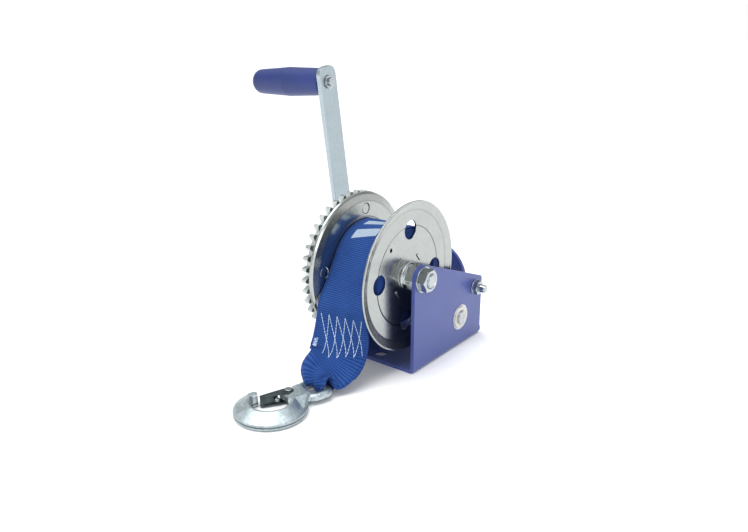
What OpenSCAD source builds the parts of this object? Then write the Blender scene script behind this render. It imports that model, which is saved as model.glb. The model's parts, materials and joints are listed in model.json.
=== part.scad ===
// Hand winch for a boat trailer: a bent steel frame carries a strap drum on a fixed
// axle sleeve, a 3:1 spur gear pair, a hand crank, a ratchet pawl and a strap with a snap hook.
// Axes: X runs along the drum from the gear side (-X) to the nut side (+X), the strap leaves
// towards -Y, Z is up. The origin is on the base's underside, midway between the side plates.

/* [Frame] */
// Width across the two side plates
frame_w = 95; // [93:1:98]
// Length of the base, front to back
base_len = 121.5; // [120:0.5:126]
// Thickness of the frame's steel sheet
sheet = 3.5; // [3:0.5:4]
// Height of the side plates at the drum's axle
plate_h = 102.6; // [101:0.2:106]
// Slope of the right plate's top edge, in degrees
plate_slope = 20.4; // [18:0.2:21]
// Height of the guard tab behind the gears
guard_h = 91; // [88:1:96]

/* [Drum] */
// Height of the drum's axis above the base's underside
drum_z = 89.5; // [89:0.5:92]
// Width between the two flanges
drum_w = 50.8; // [50.4:0.1:51]
// Outer diameter of the flanges
flange_d = 138.2; // [136:0.2:139]
// Outer diameter of the wound strap
roll_d = 86.8; // [70:0.2:88]

/* [Gears] */
// Module of the gear pair
gear_module = 3.175; // [3.15:0.025:3.2]
// Teeth on the drum's gear
gear_teeth = 42; // [42:1:42]
// Teeth on the crank's pinion
pinion_teeth = 14; // [14:1:14]

/* [Crank] */
// Distance from the pinion's axis to the grip's axis
crank_throw = 224.3; // [180:0.1:240]
// Width of the crank arm
arm_w = 23; // [20:1:26]
// Length of the grip
grip_len = 94.7; // [90:0.1:104]

/* [Strap] */
// Width of the webbing
strap_w = 50; // [40:1:50]
// Thickness of one layer of the webbing
strap_t = 1.6; // [1.2:0.1:1.8]

/* [Hidden] */

$fn = 64;
gap = 0.1;                              // play between faces that only meet
run = 0.05;                             // radial play of a shaft in its bore

inner_x = frame_w / 2 - sheet;          // inner face of a side plate
outer_x = frame_w / 2;                  // outer face of a side plate
front_y = -63.5;
rear_y = front_y + base_len;
bend_r = 4.6;                           // outer radius of the frame's bends

drum_x = 4;                             // the gear's room shifts the drum off the frame's middle
drum_y = front_y + 12.5;
flange_t = 1.8;
ring_out = 0.4;                         // the flange's ring lies this far outside its hub
rim_flare = 4.2;                        // how far the rim flares away from the strap
hub_r = 46.5;                           // radius of the flange's flat hub
ring_r = 60.3;                          // radius where the rim starts to flare
face_in = drum_w / 2;                   // flange's inner face, from the drum's middle
face_out = face_in + flange_t;
sleeve_r = 8;
bolt_r = 6;                             // M12 axle bolt
core_r = 22;
core_wall = 2;
tab_angle = 131;                        // one of the core's four tabs
tab_proud = 0.8;                        // the tabs stand this far out of the right flange
hole_angle = -3.5;                      // one of the flange's four round holes
rivet_angle = 84;                       // one of the four gear rivets
rivet_pitch_r = 53.5;
rivet_head_r = 5;

gear_w = 5.5;
gear_x = -35.2;                         // outer face of the gear
web_t = 3.2;
gear_pitch_r = gear_module * gear_teeth / 2;
pinion_pitch_r = gear_module * pinion_teeth / 2;
addendum = 0.92 * gear_module;          // slightly short teeth
dedendum = 1.0 * gear_module;
backlash = 0.3;                         // tooth thinning on the pitch circle
pressure = 20;
mesh_angle = -40.95;                    // direction from the drum's axis to the pinion's
mesh_dist = gear_pitch_r + pinion_pitch_r;
pinion_y = drum_y + mesh_dist * cos(mesh_angle);
pinion_z = drum_z + mesh_dist * sin(mesh_angle);
gear_phase = 180;                       // a gear tooth points straight forward
pinion_phase = mesh_angle + 180 + gear_teeth / pinion_teeth * (mesh_angle - gear_phase)
    + 180 / pinion_teeth;
pinion_w = 7;
pinion_x = -36;
shaft_r = 7.5;
bushing_r = 9.5;
bushing_flange_r = 11.4;
bushing_flange_t = 1.6;
axle_washer_t = 1.5;
axle_nut_h = 7.4;

arm_t = 5;
arm_lean = 8.94;                        // the arm leans towards the front at rest
arm_low_x = -57;                        // inner face of the arm at the shaft
arm_high_x = -88.5;                     // inner face of the arm at the grip
arm_bend_start = 28;
arm_bend_end = 74;
arm_end = 15;                           // the arm ends this far past the grip's axis
arm_corner = 8.5;
grip_y = pinion_y - crank_throw * sin(arm_lean);
grip_z = pinion_z + crank_throw * cos(arm_lean);
grip_start = arm_high_x - arm_t;
grip_pin_r = 5;
grip_droop = 1.8;                       // the grip's axis sinks by this angle

pawl_y = 42;
pawl_z = 55.6;
pawl_bolt_r = 4;                        // M8
pawl_tube_r = 6;
pawl_t = 5;
pawl_washer_t = 1.6;
pawl_nut_h = 4.9;
pawl_x = -36.5;
pawl_open = 18;                         // the pawl rests this far out of the pinion

eye = [2.5, -150.5, 6];                 // middle of the hook's eye
hook_turn = -14;                        // the hook points to -Y, turned by this about Z
eye_bar_r = 3.9;
eye_r = 11.6;                           // middle line of the eye's round half
eye_corner_r = 5.6;                     // middle line of the eye's two tight bends
eye_bar_y = 11;                         // the straight bar that the strap loops round
hook_top = 6;                           // upper face above the eye's middle
hook_low = -5.9;                        // lower face below the eye's middle
parting = -1;                           // height of the forging's outer edge
bowl_y = -40.5;                         // middle of the hook's round part
bowl_r = 31;
bowl_in_r = 16.8;
latch_pos = [-6.5, -19.5];              // latch rivet in the hook's own plane
latch_len = 25;
latch_lean = -10;
latch_sheet = 1.2;
latch_half = 4.9;                       // half the latch's height
rivet_r = 2;
loop_w = 11;

// Middle line of the hanging strap: x, y, z, turn about Z, tilt from upright, width, thickness
tail_stations = [
    [4, -89.5, 113.5, 0, 34, 48, 2],
    [4, -111, 78, 2, 22, 48, 2],
    [4, -112.5, 62, 12, 2, 48, 4],
    [4, -117, 36, 16, 22, 48, 4],
    [4.5, -124.5, 24, 8, 42, 42, 4.4],
    [5, -131.5, 16.5, -8, 50, 32, 5]
];

steel_blue = [0.38, 0.42, 0.66];
zinc = [0.78, 0.8, 0.82];
webbing = [0.13, 0.27, 0.58];
grip_blue = [0.22, 0.27, 0.55];
bronze = [0.72, 0.68, 0.6];

// ---- helpers ----

// Points on an arc about c, from angle a0 to a1
function arc(c, r, a0, a1, n = 8) =
    [for (i = [0:n]) c + r * [cos(a0 + (a1 - a0) * i / n), sin(a0 + (a1 - a0) * i / n)]];

// Involute half-angle helper, in degrees
function inv(a) = tan(a) * 180 / PI - a;

// Half the angle that a tooth fills at radius r
function tooth_half(r, teeth, pitch_r) =
    let (base_r = pitch_r * cos(pressure))
    let (a = acos(min(1, base_r / max(r, base_r))))
    (PI * gear_module / 2 - backlash / 2) / pitch_r * 90 / PI + inv(pressure) - inv(a);

// Outline of one tooth, from its root on one side to its root on the other
function tooth(teeth, pitch_r, at) =
    let (root = pitch_r - dedendum)
    let (tip = pitch_r + addendum)
    let (steps = [0, 0.3, 0.55, 0.8, 1])
    concat(
        [for (s = steps)
            let (r = root + (tip - root) * s)
            r * [cos(at - tooth_half(r, teeth, pitch_r)), sin(at - tooth_half(r, teeth, pitch_r))]],
        [for (s = [4:-1:0])
            let (r = root + (tip - root) * steps[s])
            r * [cos(at + tooth_half(r, teeth, pitch_r)), sin(at + tooth_half(r, teeth, pitch_r))]]
    );

function gear_outline(teeth, pitch_r, phase) =
    [for (k = [0:teeth - 1]) each tooth(teeth, pitch_r, phase + k * 360 / teeth)];

// Draws a (Y, Z) outline and extrudes it from x0 to x1
module plate_x(x0, x1) {
    translate([x0, 0, 0]) rotate([90, 0, 90]) linear_extrude(x1 - x0) children();
}

// A round bar along X
module rod(r, x0, x1, sides = 64) {
    translate([x0, 0, 0]) rotate([0, 90, 0]) cylinder(r = r, h = x1 - x0, $fn = sides);
}

// A tube along X
module tube(r_out, r_in, x0, x1) {
    difference() {
        rod(r_out, x0, x1);
        rod(r_in, x0 - 1, x1 + 1);
    }
}

// Turns a (radius, x) outline about the X axis
module turned() {
    rotate([0, 90, 0]) rotate_extrude($fn = 96) children();
}

// A hexagon along X, across flats af
module hex_x(af, x0, x1) {
    rotate([30, 0, 0]) rod(af / sqrt(3), x0, x1, 6);
}

module at_drum() {
    translate([0, drum_y, drum_z]) children();
}

module at_pinion() {
    translate([0, pinion_y, pinion_z]) children();
}

module at_pawl() {
    translate([0, pawl_y, pawl_z]) children();
}

module at_grip() {
    translate([arm_high_x, grip_y, grip_z]) rotate([0, -grip_droop, 0]) translate([-arm_high_x, 0, 0])
        children();
}

// The hook's own plane: +Y runs from the tip end to the eye, the eye is at the origin
module at_hook() {
    translate(eye) rotate([0, 0, hook_turn]) children();
}

// ---- frame ----

// Outline of the right side plate, whose front corner is round about the drum's bolt
module right_plate_outline() {
    corner = drum_y - front_y;
    small = 4;
    inset = 1.6;
    front_c = [drum_y, plate_h - corner];
    rear_c_y = rear_y - inset - small;
    fall = (rear_c_y - front_c[0]) * tan(plate_slope) - (corner - small) / cos(plate_slope);
    rear_c = [rear_c_y, front_c[1] - fall];
    polygon(concat(
        [[rear_y, bend_r], [rear_y, bend_r + 2], [rear_y - inset, bend_r + 5]],
        arc(rear_c, small, 0, 90 - plate_slope),
        arc(front_c, corner, 90 - plate_slope, 180),
        [[front_y, bend_r]]
    ));
}

// Outline of the left side plate, which is taller at the back
module left_plate_outline() {
    corner = drum_y - front_y;
    small = 5;
    front_c = [drum_y, plate_h - corner];
    rear_c = [rear_y - small, guard_h - small];
    polygon(concat(
        [[rear_y, bend_r]],
        arc(rear_c, small, 0, 84),
        arc(front_c, corner, 84, 180),
        [[front_y, bend_r]]
    ));
}

// Outline of the guard tab in the X-Z plane, bent in from the left plate's rear edge
module guard_outline() {
    reach = 29;
    round_r = 40;
    low = 18;
    foot_r = 12;
    polygon(concat(
        [[-outer_x, low]],
        arc([reach - foot_r, low + foot_r], foot_r, -90, 0),
        arc([reach - round_r, guard_h - round_r], round_r, 0, 90, 16),
        [[-outer_x, guard_h]]
    ));
}

module frame() {
    base_hole_r = 7;
    rear_hole_r = 5.5;
    rear_hole_x = 26;
    rear_hole_y = 44;
    front_hole_y = -50;
    color(steel_blue)
    difference() {
        union() {
            // base with its two bends
            translate([0, rear_y, 0]) rotate([90, 0, 0]) linear_extrude(base_len)
                difference() {
                    polygon(concat(
                        arc([outer_x - bend_r, bend_r], bend_r, -90, 0),
                        arc([-outer_x + bend_r, bend_r], bend_r, 180, 270)
                    ));
                    polygon(concat(
                        [[inner_x, bend_r + 1]],
                        [[-inner_x, bend_r + 1]],
                        arc([-outer_x + bend_r, bend_r], bend_r - sheet, 180, 270),
                        arc([outer_x - bend_r, bend_r], bend_r - sheet, -90, 0)
                    ));
                }
            plate_x(inner_x, outer_x) right_plate_outline();
            plate_x(-outer_x, -inner_x) left_plate_outline();
            translate([0, rear_y, 0]) rotate([90, 0, 0]) linear_extrude(sheet) guard_outline();
        }
        at_drum() rod(bolt_r + gap, -outer_x - 1, outer_x + 1);
        at_pinion() rod(bushing_r, -outer_x - 1, outer_x + 1);
        at_pawl() rod(pawl_bolt_r + gap, -outer_x - 1, outer_x + 1);
        translate([0, front_hole_y, -1]) cylinder(r = base_hole_r, h = sheet + 2);
        for (side = [-1, 1])
            translate([side * rear_hole_x, rear_hole_y, -1]) cylinder(r = rear_hole_r, h = sheet + 2);
    }
}

// Flanged bush in a side plate; side is 1 on the right and -1 on the left
module pinion_bushing(side) {
    color(bronze)
    at_pinion() mirror([side < 0 ? 1 : 0, 0, 0]) difference() {
        union() {
            rod(bushing_r, inner_x - 0.5, outer_x);
            rod(bushing_flange_r + 1.5, outer_x, outer_x + 0.5);
            rod(bushing_flange_r, outer_x, outer_x + bushing_flange_t);
        }
        rod(shaft_r + run, inner_x - 1, outer_x + bushing_flange_t + 1);
    }
}

module pinion_bushing_left() { pinion_bushing(-1); }

module pinion_bushing_right() { pinion_bushing(1); }

// ---- drum axle ----

module drum_bolt() {
    head_h = 7.5;
    thread_end = outer_x + axle_washer_t + axle_nut_h;
    color(zinc) at_drum() {
        hex_x(19, -outer_x - head_h, -outer_x);
        rod(bolt_r, -outer_x, thread_end);
        rod(bolt_r - 0.8, thread_end, thread_end + 1);
    }
}

module drum_washer() {
    color(zinc) at_drum() tube(12, bolt_r + run, outer_x, outer_x + axle_washer_t);
}

// Nut with chamfered corners and a countersunk mouth
module drum_nut() {
    x0 = outer_x + axle_washer_t;
    x1 = x0 + axle_nut_h;
    color(zinc) at_drum() difference() {
        intersection() {
            hex_x(19, x0, x1);
            turned() polygon([[0, x0], [10, x0], [11, x0 + 1], [11, x1 - 1.2], [9.2, x1], [0, x1]]);
        }
        rod(bolt_r, x0 - 1, x1 + 1);
        turned() polygon([[0, x1 - 1.4], [bolt_r, x1 - 1.4], [bolt_r + 1.4, x1 + 0.1], [0, x1 + 0.1]]);
    }
}

module axle_sleeve() {
    color(zinc) at_drum() tube(sleeve_r, bolt_r + run, -inner_x + gap, inner_x - gap);
}

// One thin washer on each side of the drum
module thrust_washers() {
    color(zinc) at_drum() {
        tube(13, sleeve_r + run, drum_x + face_out + 0.3, drum_x + face_out + 1.7);
        tube(13, sleeve_r + run, drum_x - face_out - web_t - 1.7, drum_x - face_out - web_t - 0.3);
    }
}

module drum_spacer_left() {
    color(zinc) at_drum()
        tube(11.5, sleeve_r + run, -inner_x + gap, drum_x - face_out - web_t - 1.8);
}

// Round bush with a hexagon end against the plate
module drum_spacer_right() {
    start = drum_x + face_out + 1.8;
    color(zinc) at_drum() difference() {
        union() {
            rod(10.5, start, inner_x - gap);
            hex_x(22, start + 2.4, inner_x - gap);
        }
        rod(sleeve_r + run, start - 1, inner_x + 1);
    }
}

// ---- drum ----

// Pressed disc; the outline is (radius, distance from the drum's middle)
module flange_disc(holes) {
    rim_r = flange_d / 2;
    ring_in = face_in + ring_out;
    ring_face = face_out + ring_out;
    rim_in = ring_in + rim_flare;
    color(zinc)
    difference() {
        turned() polygon([
            [sleeve_r + run, face_in], [hub_r - 1, face_in], [hub_r + 0.6, ring_in], [ring_r, ring_in],
            [rim_r - 2.5, rim_in - 2.3], [rim_r - 0.7, rim_in - 1.2], [rim_r, rim_in],
            [rim_r - 0.3, rim_in + 0.5], [rim_r - 1.4, rim_in + 0.6], [rim_r - 2.2, rim_in],
            [rim_r - 3.4, rim_in - 0.6], [ring_r - 0.4, ring_face], [hub_r + 0.2, ring_face],
            [hub_r - 1.4, face_out], [sleeve_r + run, face_out]
        ]);
        for (k = [0:3]) {
            rotate([tab_angle + 90 * k, 0, 0])
                translate([face_in - 1, core_r - core_wall - gap, -4 - gap])
                    cube([flange_t + 2, core_wall + 2 * gap, 8 + 2 * gap]);
            if (holes)
                rotate([hole_angle + 90 * k, 0, 0]) translate([face_in - 2, 42.5, 0])
                    rotate([0, 90, 0]) cylinder(r = 8.8, h = 6);
        }
        if (holes)
            rotate([tab_angle, 0, 0]) translate([face_in - 2, 39.5, 0])
                rotate([0, 90, 0]) cylinder(r = 1.8, h = 6, $fn = 24);
    }
}

module flange_right() {
    at_drum() translate([drum_x, 0, 0]) flange_disc(true);
}

module flange_left() {
    at_drum() translate([drum_x, 0, 0]) difference() {
        mirror([1, 0, 0]) flange_disc(false);
        for (k = [0:3])
            rotate([rivet_angle + 90 * k, 0, 0]) translate([-face_out - 1, rivet_pitch_r, 0])
                rotate([0, 90, 0]) cylinder(r = rivet_head_r + 0.4, h = 4, $fn = 48);
    }
}

// Tube between the flanges with four tabs through each and a window for the strap's end
module drum_core() {
    color(zinc)
    at_drum() translate([drum_x, 0, 0]) difference() {
        union() {
            tube(core_r, core_r - core_wall, -face_in, face_in);
            for (k = [0:3])
                rotate([tab_angle + 90 * k, 0, 0])
                    translate([-face_out, core_r - core_wall, -4])
                        cube([2 * face_out + tab_proud, core_wall, 8]);
        }
        translate([-strap_w / 2 + 2, 0, -3]) cube([strap_w - 4, core_r + 4, 6]);
    }
}

// Toothed ring on a dished web that is riveted to the left flange
module drum_gear() {
    root_r = gear_pitch_r - dedendum;
    hub_x = drum_x - face_out;
    web_in = hub_x - ring_out - 0.02;
    gear_in = gear_x + gear_w;
    color(zinc)
    at_drum() difference() {
        union() {
            plate_x(gear_x, gear_in) difference() {
                polygon(gear_outline(gear_teeth, gear_pitch_r, gear_phase));
                circle(r = 58.5, $fn = 96);
            }
            turned() polygon([
                [sleeve_r + run, hub_x - web_t], [54.6, hub_x - web_t], [57.4, gear_x + 0.8],
                [root_r - 3, gear_x], [root_r - 3, gear_in - 0.6], [59.4, gear_in - 0.6],
                [57.6, web_in], [sleeve_r + run, web_in]
            ]);
        }
        for (k = [0:3])
            rotate([rivet_angle + 90 * k, 0, 0]) translate([hub_x - web_t - 1, rivet_pitch_r - 4, 0])
                rotate([0, 90, 0]) cylinder(r = 4, h = web_t + 2, $fn = 32);
    }
}

module gear_rivets() {
    color(zinc) at_drum() translate([drum_x, 0, 0])
        for (k = [0:3])
            rotate([rivet_angle + 90 * k, 0, 0]) translate([0, rivet_pitch_r, 0])
                rod(rivet_head_r, -face_out - ring_out, -face_in - ring_out - 0.4, 48);
}

// Loose pin inside the core that holds the strap's sewn end loop
module strap_pin() {
    color(zinc) at_drum() translate([drum_x, 13.6, 0]) rod(4, -face_in + 1, face_in - 1);
}

module strap_roll() {
    color(webbing) at_drum() translate([drum_x, 0, 0])
        tube(roll_d / 2, core_r + 0.8, -strap_w / 2, strap_w / 2);
}

// ---- pinion and crank ----

module pinion_shaft() {
    end_r = 6;
    color(zinc) at_pinion() difference() {
        union() {
            rod(shaft_r, arm_low_x, outer_x + bushing_flange_t + 0.3);
            rod(shaft_r - 0.9, outer_x, outer_x + bushing_flange_t + 1.7);
            rod(end_r, arm_low_x - arm_t - 14, arm_low_x);
        }
        for (side = [-1, 1])
            translate([arm_low_x - arm_t, side > 0 ? 4.5 : -9.5, -8]) cube([arm_t, 5, 16]);
    }
}

module pinion_gear() {
    color(zinc) at_pinion() difference() {
        plate_x(pinion_x, pinion_x + pinion_w)
            polygon(gear_outline(pinion_teeth, pinion_pitch_r, pinion_phase));
        rod(shaft_r, pinion_x - 1, pinion_x + pinion_w + 1);
    }
}

// Retaining ring that keeps the shaft from sliding out
module shaft_ring() {
    color(zinc) at_pinion() tube(10.5, shaft_r, inner_x - 2.4, inner_x - 0.9);
}

module crank_spacer() {
    color(zinc) at_pinion()
        tube(11, shaft_r, arm_low_x + gap, -outer_x - bushing_flange_t - 0.4);
}

// Flat bar with an offset bend, seen from the side
module arm_side() {
    end = arm_w / 2;
    polygon([
        [arm_low_x, -end], [arm_low_x, arm_bend_start], [arm_high_x, arm_bend_end],
        [arm_high_x, crank_throw + arm_end + 1], [arm_high_x - arm_t, crank_throw + arm_end + 1],
        [arm_high_x - arm_t, arm_bend_end + 2.6], [arm_low_x - arm_t, arm_bend_start + 2.6],
        [arm_low_x - arm_t, -end]
    ]);
}

// Outline of the arm seen along X, from the pinion's axis at the origin
module arm_outline() {
    half = arm_w / 2;
    corner_x = half - arm_corner;
    corner_z = crank_throw + arm_end - arm_corner;
    circle(r = half);
    polygon(concat(
        [[half, 0]],
        arc([corner_x, corner_z], arm_corner, 0, 90),
        arc([-corner_x, corner_z], arm_corner, 90, 180),
        [[-half, 0]]
    ));
}

module crank_arm() {
    color(zinc) at_pinion() difference() {
        rotate([arm_lean, 0, 0]) intersection() {
            rotate([90, 0, 0]) linear_extrude(arm_w + 1, center = true) arm_side();
            plate_x(arm_high_x - 2 * arm_t, arm_low_x + arm_t) arm_outline();
        }
        // double-flat hole on the shaft's end
        intersection() {
            rod(6.05, arm_low_x - arm_t - 1, arm_low_x + 1);
            translate([arm_low_x - arm_t - 1, -4.55, -8]) cube([arm_t + 2, 9.1, 16]);
        }
        // hole for the grip's pin
        translate([0, -pinion_y, -pinion_z]) at_grip() rod(4 + run, arm_high_x - arm_t - 1, arm_high_x + 1);
    }
}

module crank_washer() {
    x1 = arm_low_x - arm_t;
    color(zinc) at_pinion() tube(12, 6.05, x1 - 2.5, x1);
}

module crank_nut() {
    x1 = arm_low_x - arm_t - 2.5;
    color(zinc) at_pinion() difference() {
        intersection() {
            hex_x(19, x1 - 10, x1);
            turned() polygon([[0, x1 - 10], [9.2, x1 - 10], [11, x1 - 8.8], [11, x1 - 1], [10, x1],
                [0, x1]]);
        }
        rod(6, x1 - 12, x1 + 1);
    }
}

// Shouldered pin, peened over on the inner face of the arm
module grip_pin() {
    color(zinc) at_grip() {
        rod(grip_pin_r, grip_start - grip_len + 16, grip_start);
        rod(6.5, grip_start - grip_len + 12, grip_start - grip_len + 16);
        rod(4, grip_start, arm_high_x + 4.6);
    }
}

module grip_pin_washer() {
    color(zinc) at_grip() tube(6.4, 4 + run, arm_high_x + 0.2, arm_high_x + 2);
}

// Grip with a domed end, widest in the middle
module grip() {
    x0 = grip_start - 0.6;
    x1 = grip_start - grip_len;
    dome = 9;
    end_r = 12.4;
    wide = grip_len / 2 - 2;
    color(grip_blue) at_grip() turned() polygon(concat(
        [[grip_pin_r + run, x0], [12, x0], [12.9, x0 - 1]],
        [[14.2, x0 - wide + 3], [14.4, x0 - wide], [14.1, x0 - wide - 4], [end_r, x1 + dome]],
        [for (a = [15:15:90]) [end_r - dome + dome * cos(a), x1 + dome - dome * sin(a)]],
        [[0, x1], [0, x1 + 11], [6.9, x1 + 11], [6.9, x1 + 16.4], [grip_pin_r + run, x1 + 16.4]]
    ));
}

// ---- pawl ----

module pawl_bolt() {
    color(zinc) at_pawl() {
        hex_x(13, -outer_x - 5.5, -outer_x);
        rod(pawl_bolt_r, -outer_x, outer_x + 12.4);
        rod(pawl_bolt_r - 0.6, outer_x + 12.4, outer_x + 13.2);
    }
}

module pawl_washer() {
    color(zinc) at_pawl() tube(7.6, pawl_bolt_r + run, outer_x, outer_x + pawl_washer_t);
}

module pawl_nut() {
    x0 = outer_x + pawl_washer_t;
    x1 = x0 + pawl_nut_h;
    color(zinc) at_pawl() difference() {
        intersection() {
            hex_x(13, x0, x1);
            turned() polygon([[0, x0], [7.6, x0], [7.6, x1 - 0.8], [6.3, x1], [0, x1]]);
        }
        rod(pawl_bolt_r, x0 - 1, x1 + 1);
    }
}

module pawl_tube() {
    color(zinc) at_pawl() tube(pawl_tube_r, pawl_bolt_r + run, -inner_x + gap, inner_x - gap);
}

// Rings on the tube that keep the pawl beside the gears
module pawl_rings() {
    color(zinc) at_pawl() {
        tube(9, pawl_tube_r, -inner_x + gap, pawl_x - 0.2);
        tube(9, pawl_tube_r, pawl_x + pawl_t + 0.2, pawl_x + pawl_t + 1.6);
    }
}

// Stamped pawl: a hub, a claw over the pinion and a lever with a thumb tab
module pawl() {
    claw_reach = 17.4;
    thumb_w = 14;
    claw_drop = 9.4;
    color(zinc) at_pawl() rotate([-pawl_open, 0, 0]) {
        difference() {
            union() {
                plate_x(pawl_x, pawl_x + pawl_t) union() {
                    circle(r = 9.5);
                    // claw, which points down into a tooth gap when the pawl is let in
                    polygon([
                        [0, 9.5], [-17, 9], [-claw_reach - 4, 5.5], [-claw_reach - 3.4, 2],
                        [-claw_reach - 1.9, 5.2 - claw_drop], [-claw_reach + 0.6, 4.4 - claw_drop],
                        [-claw_reach + 3.2, 3.2], [-9, 1], [0, -4]
                    ]);
                    // lever
                    polygon([[-8, 5], [6, 5], [2.5, 16], [1, 33], [-5, 33], [-5, 16]]);
                }
                translate([pawl_x, -5, 31]) cube([thumb_w, 6, 3]);
            }
            rod(pawl_tube_r + run, pawl_x - 1, pawl_x + 20);
        }
    }
}

// Torsion spring: three turns beside the pawl and two legs
module pawl_spring() {
    wire_r = 0.8;
    turn_r = 7.6;
    pitch = 1.7 * wire_r;
    first = pawl_x + pawl_t + 3.2;
    color(zinc) at_pawl() rotate([-pawl_open, 0, 0]) {
        for (k = [0:2])
            translate([first + pitch * k, 0, 0]) rotate([0, 90, 0])
                rotate_extrude($fn = 48) translate([turn_r, 0]) circle(r = wire_r, $fn = 16);
        translate([first, 0.3 - turn_r, 0]) cylinder(r = 0.9 * wire_r, h = 14, $fn = 16);
        translate([first + 2 * pitch, turn_r - 0.3, -12]) cylinder(r = 0.9 * wire_r, h = 12, $fn = 16);
    }
}

// ---- strap's hanging end ----

// A thin slab of webbing across the strap at one station
module tail_slab(s) {
    translate([s[0], s[1], s[2]]) rotate([0, 0, s[3]]) rotate([-s[4], 0, 0])
        translate([-s[5] / 2, -s[6] / 2, -0.5]) cube([s[5], s[6], 1]);
}

module strap_tail() {
    inner = eye_bar_r + 0.4;
    outer = inner + strap_t;
    color(webbing) {
        for (k = [0:len(tail_stations) - 2])
            hull() {
                tail_slab(tail_stations[k]);
                tail_slab(tail_stations[k + 1]);
            }
        // folded web between the last station and the loop round the eye's bar
        hull() {
            tail_slab(tail_stations[len(tail_stations) - 1]);
            at_hook() translate([-loop_w / 2, eye_bar_y + 3, 3.6]) cube([loop_w, 1.8, 1.4]);
        }
        at_hook() translate([0, eye_bar_y, 0]) tube(outer, inner, -loop_w / 2, loop_w / 2);
    }
}

// ---- hook ----

// Bent bar of the eye: half a ring, two sides, two tight bends and a straight bar
module hook_eye() {
    corner_y = eye_bar_y - eye_corner_r;
    corner_x = eye_r - eye_corner_r;
    rotate([0, 0, 180]) rotate_extrude(angle = 180) translate([eye_r, 0]) circle(r = eye_bar_r, $fn = 32);
    for (side = [-1, 1])
        translate([side * eye_r, 0, 0]) rotate([-90, 0, 0]) cylinder(r = eye_bar_r, h = corner_y, $fn = 32);
    for (turn = [0, 90])
        translate([turn > 0 ? -corner_x : corner_x, corner_y, 0]) rotate([0, 0, turn])
            rotate_extrude(angle = 90) translate([eye_corner_r, 0]) circle(r = eye_bar_r, $fn = 32);
    translate([0, eye_bar_y, 0]) rod(eye_bar_r, -corner_x, corner_x, 32);
}

// Round part: a ring with a high inner rim and a long bevel down to the forging's edge
module hook_bowl() {
    translate([0, bowl_y, 0]) rotate_extrude($fn = 96) polygon([
        [bowl_in_r, hook_low + 1.4], [bowl_in_r + 1.4, hook_low], [bowl_r - 1.6, hook_low],
        [bowl_r, hook_low + 1.6], [bowl_r, parting], [bowl_r - 0.8, parting + 0.9],
        [bowl_in_r + 2.6, hook_top], [bowl_in_r + 1.2, hook_top], [bowl_in_r, hook_top - 1.2]
    ]);
}

// Shank between the eye and the round part, bevelled on both sides
module hook_shank() {
    intersection() {
        translate([0, 0, hook_low]) linear_extrude(hook_top - hook_low) polygon([
            [-9, -7], [9, -7], [11.5, -11], [21, -20], [27, -27], [12, -31], [3, -25.5], [-3, -25],
            [-9.5, -27.5], [-11.5, -22], [-10.5, -12]
        ]);
        translate([0, -4, 0]) rotate([90, 0, 0]) linear_extrude(32) polygon([
            [-14, hook_low], [28, hook_low], [28, parting], [9, hook_top], [-9, hook_top],
            [-14, parting + 2]
        ]);
    }
}

module hook() {
    color(zinc) at_hook() difference() {
        union() {
            hook_bowl();
            // tip, drawn in towards the latch
            translate([0, 0, hook_low + 1]) linear_extrude(hook_top - hook_low - 1.6)
                polygon([[-13.6, -44.5], [-14, -48.5], [-17, -53], [-22, -50], [-22, -43]]);
            hook_shank();
            hook_eye();
        }
        // throat between the tip and the shank
        translate([0, 0, -10]) linear_extrude(20) polygon([
            [-11.5, -22], [-8.6, -28.4], [-7, -40], [-12, -43.8], [-20, -42.8], [-26, -44], [-34, -53],
            [-40, -44], [-40, -10], [-16, -8]
        ]);
        // seats for the latch's cheeks on both faces of the shank
        for (low = [-10, latch_half - latch_sheet - 0.15])
            translate([latch_pos[0], latch_pos[1], low])
                linear_extrude(10 - latch_half + latch_sheet + 0.15) {
                    circle(r = 6.4);
                    polygon([[-6.4, 0], [6.4, 0], [9, -7], [9, -12], [-9, -12], [-7, -6]]);
                }
        translate([latch_pos[0], latch_pos[1], -10]) cylinder(r = rivet_r, h = 20, $fn = 32);
    }
}

module latch_rivet() {
    color(zinc) at_hook() translate([latch_pos[0], latch_pos[1], 0]) {
        translate([0, 0, -latch_half]) cylinder(r = rivet_r, h = 2 * latch_half, $fn = 32);
        translate([0, 0, latch_half]) cylinder(r = 3.2, h = 1.2, $fn = 32);
        translate([0, 0, -latch_half - 0.9]) cylinder(r = 3.2, h = 0.9, $fn = 32);
    }
}

// Sheet latch: two cheeks on the rivet and a web that closes the throat from inside
module hook_latch() {
    color([0.3, 0.33, 0.34]) at_hook() translate([latch_pos[0], latch_pos[1], 0]) rotate([0, 0, latch_lean])
        difference() {
            union() {
                for (low = [-latch_half, latch_half - latch_sheet])
                    translate([0, 0, low]) linear_extrude(latch_sheet) union() {
                        circle(r = 4.6, $fn = 32);
                        polygon([[-4.4, 1], [4.4, 1], [3.4, -8], [1.6, -latch_len + 2], [0.4, -latch_len],
                            [-2, -latch_len], [-3.8, -9]]);
                    }
                translate([0.4 - latch_sheet, -latch_len, -latch_half])
                    cube([latch_sheet, latch_len - 9.6, 2 * latch_half]);
            }
            translate([0, 0, -10]) cylinder(r = rivet_r + run, h = 20, $fn = 32);
        }
}

// Wire spring that pushes the latch shut, wound beside the rivet
module latch_spring() {
    wire_r = 0.5;
    color(zinc) at_hook() translate([latch_pos[0], latch_pos[1], 0])
        rotate([0, 0, latch_lean]) translate([2.6, -11.4, 0])
            for (k = [-1:1])
                translate([0, 0, 1.7 * wire_r * k])
                    rotate_extrude($fn = 32) translate([1.6, 0]) circle(r = wire_r, $fn = 12);
}

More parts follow.
